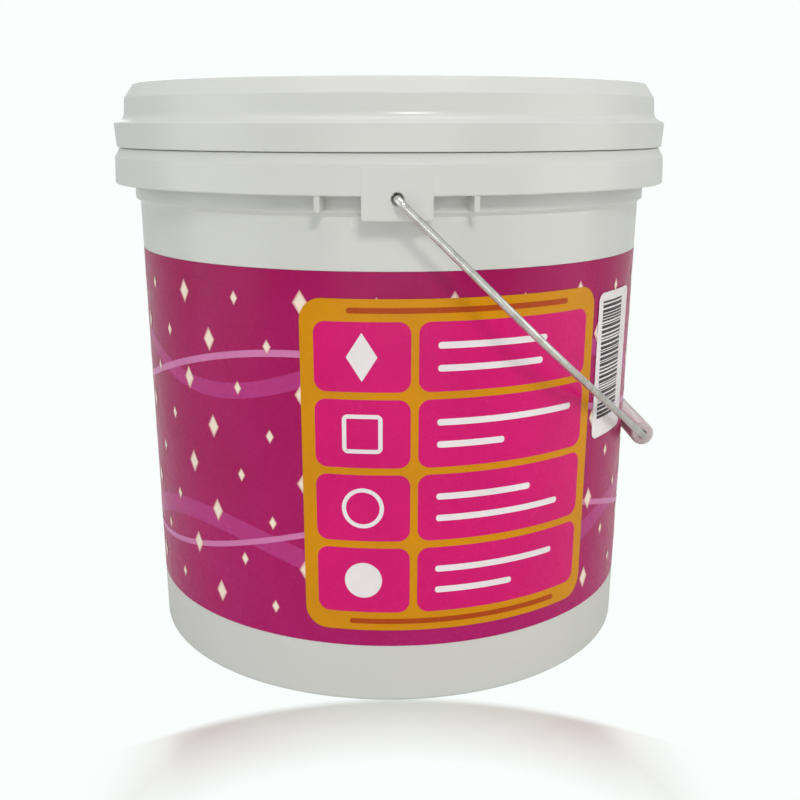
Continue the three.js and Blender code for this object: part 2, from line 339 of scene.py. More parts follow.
def noise(tree: NodeTree, grain_mm: float, detail: float, stretch: tuple = (1.0, 1.0, 1.0)) -> NodeSocket:
    """Gives a noise from 0 to 1 on Object coordinates.

    Args:
        tree: The material's tree.
        grain_mm: The width of one blot in millimetres; Blender's noise has about one blot per unit.
        detail: How many finer layers it has.
        stretch: The pattern's scale along each axis.

    Returns:
        The noise's value.
    """
    place = add_node(tree, "ShaderNodeTexCoord")
    grain = add_node(tree, "ShaderNodeMapping", {"Scale": stretch}, {"Vector": place.outputs["Object"]})
    settings = {"Scale": 1 / (grain_mm * MM), "Detail": detail}
    made = add_node(tree, "ShaderNodeTexNoise", settings, {"Vector": grain.outputs[0]})
    return made.outputs["Fac"]


def ramp(
    tree: NodeTree, value: NodeSocket, low: float, high: float, least: float, most: float, smooth: bool = False,
) -> NodeSocket:
    """Maps a value from low..high to least..most and holds it there."""
    kind = "SMOOTHSTEP" if smooth else "LINEAR"
    settings = {"interpolation_type": kind, "From Min": low, "From Max": high, "To Min": least, "To Max": most}
    return add_node(tree, "ShaderNodeMapRange", settings, {"Value": value}).outputs[0]


def blend_colour(tree: NodeTree, share: NodeSocket, first, second) -> NodeSocket:
    """Mixes two colours by a share; each is a hex value or a socket."""
    settings, links = {"data_type": "RGBA"}, {"Factor": share}
    for number, colour in ((6, first), (7, second)):
        if isinstance(colour, str):
            settings[number] = linear(colour)
        else:
            links[number] = colour
    return add_node(tree, "ShaderNodeMix", settings, links).outputs[2]


def relief(tree: NodeTree, height: NodeSocket, depth_mm: float, strength: float) -> NodeSocket:
    """Turns a height from 0 to 1 into a bump of that depth."""
    settings = {"Strength": strength, "Distance": depth_mm * MM}
    return add_node(tree, "ShaderNodeBump", settings, {"Height": height}).outputs[0]


@dataclass(frozen=True)
class MouldedPolypropylene:
    """Injection-moulded white polypropylene.

    The polished mould leaves a soft gloss. The flow of the melt leaves wide faint waves, and handling
    leaves fine rubbed patches where the gloss is duller.
    """

    name: str = "moulded_white_polypropylene"
    colour: str = "D9DAD6"
    shade: str = "D5D6D1"
    wave_mm: float = 60.0
    rub_mm: float = 22.0

    def made(self) -> Material:
        """Builds the node material."""
        material, tree, output = new_material(self.name)
        cloud = ramp(tree, noise(tree, self.wave_mm, 1.0), 0.0, 1.0, 0.0, 1.0)
        colour = blend_colour(tree, cloud, self.colour, self.shade)
        rough = ramp(tree, noise(tree, self.rub_mm, 1.0), 0.0, 1.0, 0.21, 0.29)
        waves = relief(tree, noise(tree, self.wave_mm * 0.7, 0.0), 0.3, 0.12)
        shader = add_node(
            tree, "ShaderNodeBsdfPrincipled",
            {"IOR": 1.49, "Specular IOR Level": 0.5},
            {"Base Color": colour, "Roughness": rough, "Normal": waves},
        )
        tree.links.new(shader.outputs[0], output.inputs[0])
        return material


@dataclass(frozen=True)
class PrintedFilm:
    """Glossy printed polypropylene film, fused with the wall in the mould.

    The ink lies under a clear skin, so the gloss is even, with the wall's waves and small pits.
    """

    deep: str = "A20A54"
    bright: str = "B4196C"
    gloss: float = 0.27

    def ground(self, tree: NodeTree) -> NodeSocket:
        """Gives the ground's colour: deep to bright with height and cloud."""
        place = add_node(tree, "ShaderNodeTexCoord").outputs["Object"]
        spot = add_node(tree, "ShaderNodeSeparateXYZ", {}, {0: place})
        height = ramp(tree, spot.outputs[2], 0.02, 0.19, 0.75, 0.1)
        cloud = {0: noise(tree, 42.0, 3.0)}
        share = add_node(tree, "ShaderNodeMath", {"operation": "MULTIPLY_ADD", 1: 1.1, 2: -0.45}, cloud)
        both = {0: share.outputs[0], 1: height}
        mixed = add_node(tree, "ShaderNodeMath", {"operation": "ADD", "use_clamp": True}, both)
        return blend_colour(tree, mixed.outputs[0], self.deep, self.bright)

    def shader(self, tree: NodeTree, output: Node, colour: NodeSocket | str) -> None:
        """Adds the film's shader under a colour."""
        waves = relief(tree, noise(tree, 24.0, 1.0), 0.25, 0.3)
        rough = ramp(tree, noise(tree, 9.0, 3.0), 0.3, 0.8, self.gloss - 0.05, self.gloss + 0.07)
        settings, links = {"IOR": 1.5, "Specular IOR Level": 0.16}, {"Roughness": rough, "Normal": waves}
        if isinstance(colour, str):
            settings["Base Color"] = linear(colour)
        else:
            links["Base Color"] = colour
        made = add_node(tree, "ShaderNodeBsdfPrincipled", settings, links)
        tree.links.new(made.outputs[0], output.inputs[0])

    def bare(self) -> Material:
        """Builds the ground's material."""
        material, tree, output = new_material("printed_film_ground")
        self.shader(tree, output, self.ground(tree))
        return material

    def inked(self, ink: Ink) -> Material:
        """Builds the material of one plain ink, a little uneven as a printed solid is."""
        material, tree, output = new_material(f"printed_film_{ink.name.lower()}")
        darker = blend_colour(tree, ramp(tree, noise(tree, 30.0, 2.0), 0.3, 0.7, 0.0, 0.09), ink.value, "5A1A3A")
        self.shader(tree, output, darker)
        return material

    def edged(self) -> Material:
        """Builds the lozenges' material: cream with a rosy edge, by the share of the way from the middle."""
        material, tree, output = new_material("printed_film_lozenges")
        uv = add_node(tree, "ShaderNodeUVMap", {"uv_map": "UVMap"}).outputs[0]
        out = add_node(tree, "ShaderNodeSeparateXYZ", {}, {0: uv}).outputs[0]
        edge = ramp(tree, out, 0.55, 1.0, 0.0, 0.8, True)
        self.shader(tree, output, blend_colour(tree, edge, "FBEAD8", "D98C8C"))
        return material


@dataclass(frozen=True)
class ZincCoatedWire:
    """Drawn steel wire with a thin zinc coat.

    Drawing leaves fine lines along the wire, and the zinc clouds and dulls unevenly, so the highlight
    is broken and the metal is a warm grey.
    """

    colour: str = "D2D2CD"
    dull: str = "B9B8B3"

    def made(self) -> Material:
        """Builds the node material; u runs along the wire and v round it."""
        material, tree, output = new_material("zinc_coated_drawn_wire")
        uv = add_node(tree, "ShaderNodeUVMap", {"uv_map": "UVMap"}).outputs[0]
        lines = add_node(tree, "ShaderNodeMapping", {"Scale": (10.0, 260.0, 1.0)}, {"Vector": uv})
        fine = {"Scale": 1.0, "Detail": 3.0}
        drawn = add_node(tree, "ShaderNodeTexNoise", fine, {"Vector": lines.outputs[0]}).outputs["Fac"]
        patches = ramp(tree, noise(tree, 5.0, 4.0), 0.4, 0.72, 0.0, 1.0, True)
        colour = blend_colour(tree, patches, self.colour, self.dull)
        rough = ramp(tree, drawn, 0.3, 0.7, 0.2, 0.34)
        shader = add_node(
            tree, "ShaderNodeBsdfPrincipled", {"Metallic": 1.0},
            {"Base Color": colour, "Roughness": rough, "Normal": relief(tree, drawn, 0.02, 0.15)},
        )
        tree.links.new(shader.outputs[0], output.inputs[0])
        return material


@dataclass(frozen=True)
class MilkyPolythene:
    """Extruded natural polythene tube: milky, waxy and a little see-through, with faint lines along it."""

    colour: str = "EADFE0"

    def made(self) -> Material:
        """Builds the node material."""
        material, tree, output = new_material("milky_polythene_tube")
        lines = noise(tree, 0.9, 2.0, (1.0, 0.04, 1.0))
        rough = ramp(tree, lines, 0.3, 0.7, 0.3, 0.46)
        shader = add_node(
            tree, "ShaderNodeBsdfPrincipled",
            {"Base Color": linear(self.colour), "IOR": 1.51, "Transmission Weight": 0.35, "Subsurface Weight": 0.25,
             "Subsurface Radius": (1.0, 0.8, 0.8), "Subsurface Scale": 2.0 * MM},
            {"Roughness": rough, "Normal": relief(tree, lines, 0.08, 0.4)},
        )
        tree.links.new(shader.outputs[0], output.inputs[0])
        return material


@dataclass
class Studio:
    """The camera, the pale surroundings and the lamps.

    Args:
        eye: The camera's place.
        yaw: How far the view turns from +Y towards +X, in degrees.
        pitch: How far it looks down, in degrees.
        focal_px: The focal length in pixels of the 800-pixel picture.
        middle_px: Where the line of sight meets the picture.
        arc_middle: How far in front the pale shade's arcs have their centre.
        arc_reach: The outer arc's radius.
        arc_depth: How far inwards the shade fades out.
        arc_half: How far to each side the shade reaches.
        arc_narrowing: The arcs' stretch across, below 1 where they are flatter than a circle.
    """

    eye: tuple[float, float, float] = (-13.39, -548.0, 247.56)
    yaw: float = 1.4
    pitch: float = 11.84
    focal_px: float = 1078.3
    middle_px: tuple[float, float] = (388.93, 350.0)
    picture_px: float = 800.0
    backdrop: str = "FAFFFD"
    floor_radius: float = 900.0
    arc_middle: float = -260.0
    arc_reach: float = 141.0
    arc_depth: float = 44.0
    arc_half: float = 122.0
    arc_narrowing: float = 0.88

    def place_camera(self) -> None:
        """Makes the camera; the lens is focal pixels times the 36 mm sensor over the picture's width."""
        data = bpy.data.cameras.new("camera")
        data.sensor_width = 36.0
        data.lens = self.focal_px * 36.0 / self.picture_px
        data.shift_x = (self.picture_px / 2 - self.middle_px[0]) / self.picture_px
        data.shift_y = (self.middle_px[1] - self.picture_px / 2) / self.picture_px
        data.clip_start, data.clip_end = 0.01, 50.0
        camera = bpy.data.objects.new("camera", data)
        yaw, pitch = math.radians(self.yaw), math.radians(self.pitch)
        sight = Vector((math.sin(yaw) * math.cos(pitch), math.cos(yaw) * math.cos(pitch), -math.sin(pitch)))
        camera.location = Vector(self.eye) * MM
        camera.rotation_euler = sight.to_track_quat("-Z", "Y").to_euler()
        bpy.context.scene.collection.objects.link(camera)
        bpy.context.scene.camera = camera

    def set_world(self) -> None:
        """Shows a pale backdrop to the camera, to gloss and through plastic, and lights with a plainer sky."""
        world = bpy.data.worlds.new("world")
        bpy.context.scene.world = world
        world.use_nodes = True
        tree = world.node_tree
        tree.nodes.clear()
        rays = add_node(tree, "ShaderNodeLightPath")
        round_about = add_node(tree, "ShaderNodeTexCoord").outputs["Generated"]
        way = add_node(tree, "ShaderNodeSeparateXYZ", {}, {0: round_about})
        height = ramp(tree, way.outputs[2], -0.6, 0.9, 0.28, 0.46, True)
        sky = add_node(tree, "ShaderNodeBackground", {"Color": linear("FBFCFF")}, {"Strength": height})
        shown = add_node(tree, "ShaderNodeBackground", {"Color": linear(self.backdrop), "Strength": 1.0})
        direct = {0: rays.outputs["Is Camera Ray"], 1: rays.outputs["Is Transmission Ray"]}
        clear = add_node(tree, "ShaderNodeMath", {"operation": "MAXIMUM"}, direct)
        half = add_node(tree, "ShaderNodeMath", {"operation": "MULTIPLY", 1: 0.5}, {0: rays.outputs["Is Glossy Ray"]})
        seen = add_node(tree, "ShaderNodeMath", {"operation": "MAXIMUM"}, {0: clear.outputs[0], 1: half.outputs[0]})
        mixed = add_node(tree, "ShaderNodeMixShader", {}, {0: seen.outputs[0], 1: sky.outputs[0], 2: shown.outputs[0]})
        add_node(tree, "ShaderNodeOutputWorld", {}, {0: mixed.outputs[0]})

    def lay_floor(self) -> None:
        """Lays a glossy white floor whose far part is the backdrop's own colour, so that it has no edge. In front of
        the pail the camera sees the lit floor only inside a crescent, a partly painted shade: the arch shape is
        painted, while the shadow and gloss inside it are real.
        """
        radius = np.concatenate([np.linspace(4, 240, 30), np.linspace(260, self.floor_radius, 12)])
        angles = np.linspace(0, 2 * math.pi, 96, endpoint=False)
        rings = turned(np.stack([radius, np.zeros_like(radius)], -1), angles)
        surface = patch(rings, loop_columns=True)
        floor = mesh_object("floor", surface)
        up = floor.data.polygons[0].normal.z
        if up < 0:
            floor.data.flip_normals()
        material, tree, output = new_material("glossy_white_floor")
        rays = add_node(tree, "ShaderNodeLightPath")
        spot = add_node(tree, "ShaderNodeTexCoord").outputs["Object"]
        # Painted shade: an arch-shaped crescent in front of the pail where the camera sees the darker lit floor, with
        # its real shadow and reflection; everywhere else the camera sees the backdrop's colour.
        place = {"Location": (0.0, -self.arc_middle * MM, 0.0), "Scale": (self.arc_narrowing, 1.0, 1.0)}
        middle = add_node(tree, "ShaderNodeMapping", place, {"Vector": spot})
        far = add_node(tree, "ShaderNodeVectorMath", {"operation": "LENGTH"}, {0: middle.outputs[0]}).outputs["Value"]
        inward = ramp(tree, far, (self.arc_reach - self.arc_depth) * MM, self.arc_reach * MM, 1.0, 0.0)
        outward = ramp(tree, far, (self.arc_reach - 1.0) * MM, (self.arc_reach + 6.0) * MM, 0.0, 1.0, True)
        across = add_node(tree, "ShaderNodeSeparateXYZ", {}, {0: spot}).outputs[0]
        beside = add_node(tree, "ShaderNodeMath", {"operation": "ABSOLUTE"}, {0: across})
        aside = ramp(tree, beside.outputs[0], 0.6 * self.arc_half * MM, self.arc_half * MM, 0.0, 1.0, True)
        ends = add_node(tree, "ShaderNodeMath", {"operation": "MAXIMUM"}, {0: outward, 1: aside})
        fade = add_node(tree, "ShaderNodeMath", {"operation": "MAXIMUM"}, {0: inward, 1: ends.outputs[0]}).outputs[0]
        seen = add_node(tree, "ShaderNodeMath", {"operation": "MULTIPLY"}, {0: fade, 1: rays.outputs["Is Camera Ray"]})
        gloss = {"Base Color": linear("E6E8E2"), "Roughness": 0.18, "IOR": 1.6}
        white = add_node(tree, "ShaderNodeBsdfPrincipled", gloss)
        pale = add_node(tree, "ShaderNodeEmission", {"Color": linear(self.backdrop), "Strength": 1.0})
        mixed = add_node(tree, "ShaderNodeMixShader", {}, {0: seen.outputs[0], 1: white.outputs[0], 2: pale.outputs[0]})
        tree.links.new(mixed.outputs[0], output.inputs[0])
        floor.data.materials.append(material)

    def hang_lamp(
        self, name: str, place: tuple, target: tuple, size: tuple, watts: float, tint: str = "FFFFFF",
    ) -> None:
        """Hangs one rectangular lamp, aimed at a point; places are millimetres."""
        data = bpy.data.lights.new(name, "AREA")
        data.shape, data.size, data.size_y = "RECTANGLE", size[0] * MM, size[1] * MM
        data.energy, data.color = watts, linear(tint)[:3]
        lamp = bpy.data.objects.new(name, data)
        lamp.location = Vector(place) * MM
        lamp.rotation_euler = (Vector(target) - Vector(place)).to_track_quat("-Z", "Y").to_euler()
        bpy.context.scene.collection.objects.link(lamp)

    def light(self) -> None:
        """Hangs the key lamp high in front, and wide weak lamps round the pail, so that no side is dull."""
        self.hang_lamp("key", (150, -1080, 860), (0, 0, 140), (280, 200), 4.0, "FFFDF8")
        self.hang_lamp("left_wall", (-1050, -300, 300), (0, 0, 140), (800, 900), 2.5, "F8FBFF")
        self.hang_lamp("right_wall", (1050, -300, 300), (0, 0, 140), (800, 900), 2.4, "FFFDFA")
        self.hang_lamp("back_wall", (0, 1200, 420), (0, 0, 140), (1000, 900), 4.5)
        self.hang_lamp("low_fill", (0, -1100, 60), (0, 0, 150), (1000, 100), 1.0)
        self.hang_lamp("top_box", (0, -150, 1100), (0, 0, 200), (700, 500), 2.6)


@dataclass
class Wall:
    """The tapered wall, which the bucket, the label and its print follow."""

    base_radius: float = 117.2
    taper: float = math.radians(1.33)
    mean_radius: float = 119.6

    def radius(self, height: np.ndarray | float) -> np.ndarray | float:
        """Gives the outer radius at a height: base radius plus the height times the taper's tangent."""
        return self.base_radius + math.tan(self.taper) * height

    def wrapped(self, flat: np.ndarray, proud: float) -> np.ndarray:
        """Lays flat print on the wall.

        Args:
            flat: (along, up) in millimetres; along is the arc from -Y towards +X at the mean radius.
            proud: How far it stands off the wall.

        Returns:
            The points, with 3 in place of 2.
        """
        angle = flat[..., 0] / self.mean_radius
        radius = self.radius(flat[..., 1]) + proud
        return np.stack([radius * np.sin(angle), -radius * np.cos(angle), flat[..., 1]], -1)


@dataclass
class Pail:
    """The moulded bucket with its collar, ears and ribs."""

    wall: Wall = field(default_factory=Wall)
    thickness: float = 2.0
    floor_top: float = 6.0
    foot_recess: float = 3.6
    foot_inside: float = 113.0
    label_bottom: float = 26.4
    label_top: float = 189.9
    label_seat: float = 0.55
    ring_bottom: float = 211.6
    collar_bottom: float = 220.3
    collar_radius: float = 133.3147
    collar_top: float = 232.5
    bevel_top: float = 236.8
    channel_top: float = 234.9
    skirt_inside: float = 131.4147
    rim_radius: float = 124.0978
    rim_top: float = 262.5
    ear_half: float = 13.95
    ear_drop: float = 9.6
    ear_wall: float = 1.8
    ear_corner: float = 0.9
    hole_height: float = 219.4
    hole_radius: float = 2.5
    hole_mouth: float = 0.5
    rib_angle: float = math.radians(13.6)
    rib_half: float = 1.2
    rib_bottom: float = 213.9

    @property
    def ring_radius(self) -> float:
        """Gives the radius of the thick ring under the collar."""
        return self.wall.radius(self.ring_bottom) + 2.1

    def outline(self) -> np.ndarray:
        """Gives the bucket's section as (radius, height), up the outside and down the inside."""
        at = self.wall.radius
        neck = at(self.bevel_top)
        return rounded([
            (0, 3.6), (self.foot_inside - 1.8, self.foot_recess, 1.1), (self.foot_inside, 0, 0.73), (at(0), 0, 2.2),
            (at(self.label_bottom), self.label_bottom, 0.12),
            (at(self.label_bottom) - self.label_seat, self.label_bottom, 0.1),
            (at(self.label_top) - self.label_seat, self.label_top, 0.1), (at(self.label_top), self.label_top, 0.12),
            (at(self.ring_bottom), self.ring_bottom, 0.5), (self.ring_radius, self.ring_bottom + 1.8, 0.5),
            (self.ring_radius, self.channel_top, 0.6), (self.skirt_inside, self.channel_top, 0.6),
            (self.skirt_inside, self.collar_bottom, 0.4), (self.collar_radius, self.collar_bottom, 1.2),
            (self.collar_radius - 0.3, self.collar_top, 0.5), (self.collar_radius - 2.6, self.bevel_top, 0.7),
            (neck, self.bevel_top, 0.5), (neck, 251.0), (self.rim_radius, 252.4), (self.rim_radius, self.rim_top, 1.5),
            (neck - self.thickness, self.rim_top, 1.0), (at(self.floor_top) - self.thickness, self.floor_top, 6),
            (0, self.floor_top),
        ])

    def ear_lowering(self, angles: np.ndarray) -> np.ndarray:
        """Gives how far the skirt's edge drops at each angle: the ear's depth, less a quarter circle at its corners."""
        across = np.minimum(np.abs(angles), np.abs(np.abs(angles) - math.pi)) * self.collar_radius
        into = np.clip((across - (self.ear_half - self.ear_corner)) / self.ear_corner, 0, 1)
        drop = self.ear_drop - self.ear_corner * (1 - np.sqrt(1 - into**2))
        return np.where(across <= self.ear_half + 1e-6, drop, 0.0)

    def columns(self) -> np.ndarray:
        """Gives the angles of the section: even all round, and close together at each ear's edges."""
        edge = np.array([-0.9, -0.7, -0.45, -0.22, -0.08, 0.0, 0.06]) + self.ear_half
        near = np.concatenate([edge, -edge]) / self.collar_radius
        even = np.linspace(-math.pi, math.pi, 288, endpoint=False)
        wrap = np.where(near > 0, near - math.pi, near + math.pi)
        return np.unique(np.round(np.concatenate([even, near, wrap]), 7))

    def shell(self) -> Surface:
        """Turns the section about Z and lowers the skirt's edge at the ears."""
        outline = self.outline()
        angles = self.columns()
        rings = turned(outline[1:-1], angles)
        edge = (outline[1:-1, 0] > self.skirt_inside - 0.6) & (outline[1:-1, 1] < self.collar_bottom + 1.6)
        rings[edge, :, 2] -= self.ear_lowering(angles)[None]
        ends = [np.array([0.0, 0.0, outline[i, 1]]) for i in (0, -1)]
        return tube(rings, *ends)

    def drill(self, side: float) -> Surface:
        """Gives the tool that cuts an ear's hole: a bar along Y with a flared mouth outside."""
        reach = np.array([self.skirt_inside - 3, self.collar_radius - self.hole_mouth, self.collar_radius + 1.0])
        radius = np.array([self.hole_radius, self.hole_radius, self.hole_radius + self.hole_mouth + 1.0])
        turn = np.linspace(0, 2 * math.pi, 48, endpoint=False)
        across = radius[:, None] * np.cos(turn)
        height = self.hole_height + radius[:, None] * np.sin(turn)
        rings = np.stack([across, side * np.repeat(reach[:, None], len(turn), 1), height], -1)
        middles = [np.array([0.0, side * r, self.hole_height]) for r in (reach[0], reach[-1])]
        return tube(rings, *middles)

    def block(self, across: tuple, out: tuple, up: tuple, turn: float) -> Surface:
        """Gives a block with rounded edges that runs out from the wall.

        Each ring is a rounded rectangle: half sizes less an inset, which follows a quarter circle at the ends.

        Args:
            across: Lowest and highest place across the radius.
            out: Lowest and highest radius.
            up: Lowest and highest height.
            turn: The angle from -Y.

        Returns:
            The closed surface.
        """
        middle = [(a + b) / 2 for a, b in (across, out)]
        half = [(b - a) / 2 for a, b in (across, out)]
        edge = min(0.4, 0.45 * min(half))
        quarter = np.linspace(0, math.pi / 2, 4)
        inset = np.concatenate([edge * (1 - np.sin(quarter)), edge * (1 - np.cos(quarter))])
        height = np.concatenate([up[0] + edge * (1 - np.cos(quarter)), up[1] - edge * (1 - np.sin(quarter))])
        corner = np.concatenate([quarter + k * math.pi / 2 for k in range(4)])
        sign = np.repeat(np.array([[1, 1], [-1, 1], [-1, -1], [1, -1]]), 4, 0)
        flat = (np.array(half) - edge) * sign + edge * np.stack([np.cos(corner), np.sin(corner)], -1)
        share = 1 - inset[:, None, None] / np.array(half)
        flat = flat[None] * share + np.array(middle)
        x, r = flat[..., 0], flat[..., 1]
        points = np.stack([
            r * math.sin(turn) + x * math.cos(turn), -r * math.cos(turn) + x * math.sin(turn),
            np.repeat(height[:, None], 16, 1),
        ], -1)
        return tube(points, points[0].mean(0), points[-1].mean(0))

    def build(self, material: Material) -> None:
        """Builds the bucket with its drilled ears, the ears' side walls and the ribs."""
        shell = make_piece("pail_shell", self.shell(), material, "pail")
        for side in (-1.0, 1.0):
            bored(shell, mesh_object("drill", self.drill(side)))
        shell.data.set_sharp_from_angle(angle=math.radians(32))
        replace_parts(shell, "pail_body")
        walls, ribs = [], []
        # The upper block is a hair narrower, so that no two faces lie on each other.
        lower = (0.0, self.collar_radius - 0.7, -math.inf, self.collar_top - 1.0)
        upper = (0.08, self.skirt_inside + 0.2, self.collar_bottom + 2.0, self.channel_top + 0.1)
        for turn in (0.0, math.pi):
            for side in (-1, 1):
                for narrower, outside, bottom, top in (lower, upper):
                    near, far = self.ear_half - self.ear_wall + narrower, self.ear_half - 0.02 - narrower
                    across = sorted((side * near, side * far))
                    reach = (self.ring_radius - 1.5, math.sqrt(outside**2 - self.ear_half**2))
                    height = (max(bottom, self.collar_bottom - self.ear_drop), top)
                    walls.append(self.block(across, reach, height, turn))
                    half, height = self.rib_half - narrower, (max(bottom, self.rib_bottom), top)
                    reach = (self.ring_radius - 0.5, outside)
                    ribs.append(self.block((-half, half), reach, height, turn + side * self.rib_angle))
        make_piece("ear_side_walls", Surface.joined(walls), material, "pail")
        make_piece("collar_ribs", Surface.joined(ribs), material, "pail")


@dataclass
class Lid:
    """The snap lid: stacking ring, chamfered tier, shoulder, skirt, plug ring and snap ring."""

    top: float = 265.8
    top_radius: float = 123.5978
    neck_radius: float = 127.6978
    neck_inside: float = 125.9978
    tier_edge: float = 259.4
    shoulder: float = 248.1
    shoulder_radius: float = 132.9147
    skirt_radius: float = 132.0147
    skirt_bottom: float = 237.0
    recess_radius: float = 118.4
    panel: float = 256.6
    panel_step: float = 82.0
    wall: float = 1.7
    snap_radius: float = 124.4478
    plug_depth: float = 6.5
    ring_inside: float = 120.1
    cove_radius: float = 128.27

    def outline(self) -> np.ndarray:
        """Gives the lid's section as (radius, height), out under the panel, down the skirt and back over the top."""
        under, ceiling = self.panel - self.wall, self.shoulder - self.wall
        slope = (self.neck_radius - self.top_radius) / (self.top - self.tier_edge)
        return rounded([
            (0, under + 1.1), (self.panel_step - 1.1, under + 1.1), (self.panel_step, under),
            (self.recess_radius, under), (self.recess_radius, under - self.plug_depth),
            (self.recess_radius + 1.13, under - self.plug_depth, 0.4), (self.ring_inside, under),
            (self.ring_inside, self.top - self.wall), (self.neck_inside - slope * 5.55, self.top - self.wall),
            (self.neck_inside, 258.55), (self.neck_inside, ceiling + 1.8),
            (self.snap_radius, ceiling + 0.9), (self.snap_radius, ceiling), (self.neck_inside, ceiling - 0.9),
            (self.skirt_radius - 0.8, ceiling - 0.9, 0.85), (self.skirt_radius - self.wall, self.skirt_bottom),
            (self.skirt_radius, self.skirt_bottom, 0.57), (self.shoulder_radius, self.shoulder, 0.6),
            (self.cove_radius, self.shoulder + 2.1, 4.0), (self.neck_radius, self.tier_edge, 0.6),
            (self.top_radius, self.top, 0.9), (self.recess_radius + 0.57, self.top, 0.5),
            (self.recess_radius, self.panel, 0.85), (self.panel_step, self.panel),
            (self.panel_step - 1.1, self.panel + 1.1), (0, self.panel + 1.1),
        ])

    def build(self, material: Material) -> None:
        """Builds the lid."""
        outline = self.outline()
        rings = turned(outline[1:-1], np.linspace(-math.pi, math.pi, 288, endpoint=False))
        ends = [np.array([0.0, 0.0, outline[i, 1]]) for i in (0, -1)]
        piece = make_piece("lid_shell", tube(rings, *ends), material, "lid")
        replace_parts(piece, "lid")


@dataclass
class Bail:
    """The bent wire with its hooked ends, and the tube that turns on it."""

    wall: Wall = field(default_factory=Wall)
    pivot_height: float = 219.4
    wire_radius: float = 1.6
    reach: float = 175.5
    half_width: float = 138.0147
    hook_place: float = 129.0147
    grip_radius: float = 5.6
    grip_bore: float = 2.1
    grip_length: float = 70.0
    stand_off: float = 0.3

    @property
    def droop(self) -> float:
        """Gives the bail's angle below the horizontal, at which the tube just clears the tapered wall."""
        taper = self.wall.taper
        reach = self.wall.radius(self.pivot_height) + (self.grip_radius + self.stand_off) / math.cos(taper)
        return taper + math.acos(reach * math.cos(taper) / self.reach)

    def stations(self) -> tuple[np.ndarray, np.ndarray]:
        """Gives the wire's middle line and its directions in space.

        The line lies in one plane through the ears: its first axis points down and out at the droop, and
        its second lies along Y.
        """
        corner = self.grip_length / 2 + 4.2
        half = [
            (-5, -self.hook_place, 0), (0, -self.hook_place, 2.2), (0, -self.half_width, 3.4),
            (85, -self.half_width, 180), (self.reach, -corner, 6),
        ]
        chain = half + [(r, -y, b) for r, y, b in half[::-1]]
        flat = rounded(chain, steps=14)
        keep = np.concatenate([[True], np.linalg.norm(np.diff(flat, axis=0), axis=1) > 0.02])
        flat = flat[keep]
        way = np.gradient(flat, axis=0)
        way /= np.linalg.norm(way, axis=1, keepdims=True)
        plane = np.array([[math.cos(self.droop), 0, -math.sin(self.droop)], [0, 1, 0]])
        return flat @ plane + np.array([0, 0, self.pivot_height]), way @ plane

    def rod(self) -> Surface:
        """Carries a circle along the middle line: point + radius times (cos(a) side + sin(a) normal)."""
        line, way = self.stations()
        normal = np.array([math.sin(self.droop), 0, math.cos(self.droop)])
        side = np.cross(way, normal)
        radius = np.full(len(line), self.wire_radius)
        first, last = way[0], way[-1]
        line = np.concatenate([[line[0], line[0] + first * 0.35], line[1:-1], [line[-1] - last * 0.35, line[-1]]])
        side = np.concatenate([side[:1], side, side[-1:]])
        radius = np.concatenate([[self.wire_radius - 0.35], radius, [self.wire_radius - 0.35]])
        around = 28
        turn = np.linspace(0, 2 * math.pi, around, endpoint=False)[None, :, None]
        rings = line[:, None] + radius[:, None, None] * (side[:, None] * np.cos(turn) + normal * np.sin(turn))
        made = tube(rings, line[0], line[-1])
        far = np.concatenate([[0], np.cumsum(np.linalg.norm(np.diff(line, axis=0), axis=1))]) * 0.01
        share = np.tile(np.linspace(0, 1, around), len(far))
        made.values[: len(far) * around] = np.stack([np.repeat(far, around), share], -1)
        return made

    def sleeve(self) -> Surface:
        """Turns the tube's section about its axis, which runs along Y: outside, one end, bore, other end."""
        half, out, bore = self.grip_length / 2, self.grip_radius, self.grip_bore
        start = (-half + 5, bore)
        chain = [start, (-half, bore, 0.3), (-half, out, 1.6), (half, out, 1.6), (half, bore, 0.3), start]
        section = rounded(chain, steps=7)[:-1]
        turn = np.linspace(0, 2 * math.pi, 64, endpoint=False)
        middle = np.array([self.reach * math.cos(self.droop), 0, self.pivot_height - self.reach * math.sin(self.droop)])
        radius = section[:, 1:]
        points = np.stack([radius * np.cos(turn), np.repeat(section[:, :1], 64, 1), radius * np.sin(turn)], -1) + middle
        return patch(points, loop_rows=True, loop_columns=True).outward()

    def build(self, wire: Material, milky: Material) -> None:
        """Builds the wire and the tube."""
        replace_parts(make_piece("bail_rod", self.rod(), wire, "bail"), "bail_wire")
        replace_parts(make_piece("grip_tube", self.sleeve(), milky, "grip"), "bail_grip")


def flat_panel(left: float, right: float, low: float, high: float, corner: float) -> np.ndarray:
    """Gives a rounded rectangle as a grid, whose half height drops by a quarter circle near the ends.

    Args:
        left: Its lowest place along.
        right: Its highest place along.
        low: Its lowest height.
        high: Its highest height.
        corner: Its corner radius.

    Returns:
        Rows by columns by 2.
    """
    half_height = (high - low) / 2
    corner = min(corner, 0.499 * (right - left), half_height - 1e-3)
    quarter = np.linspace(0, math.pi / 2, 9)
    start = left + corner * (1 - np.cos(quarter))
    drop = corner * (1 - np.sin(quarter))
    middle = np.linspace(left + corner, right - corner, max(3, int((right - left) / 2.5)))[1:-1]
    along = np.concatenate([start, middle, (left + right) - start[::-1]])
    half = half_height - np.concatenate([drop, np.zeros_like(middle), drop[::-1]])
    share = np.linspace(-1, 1, 5)[:, None]
    return np.stack([np.repeat(along[None], 5, 0), (low + high) / 2 + half * share], -1)


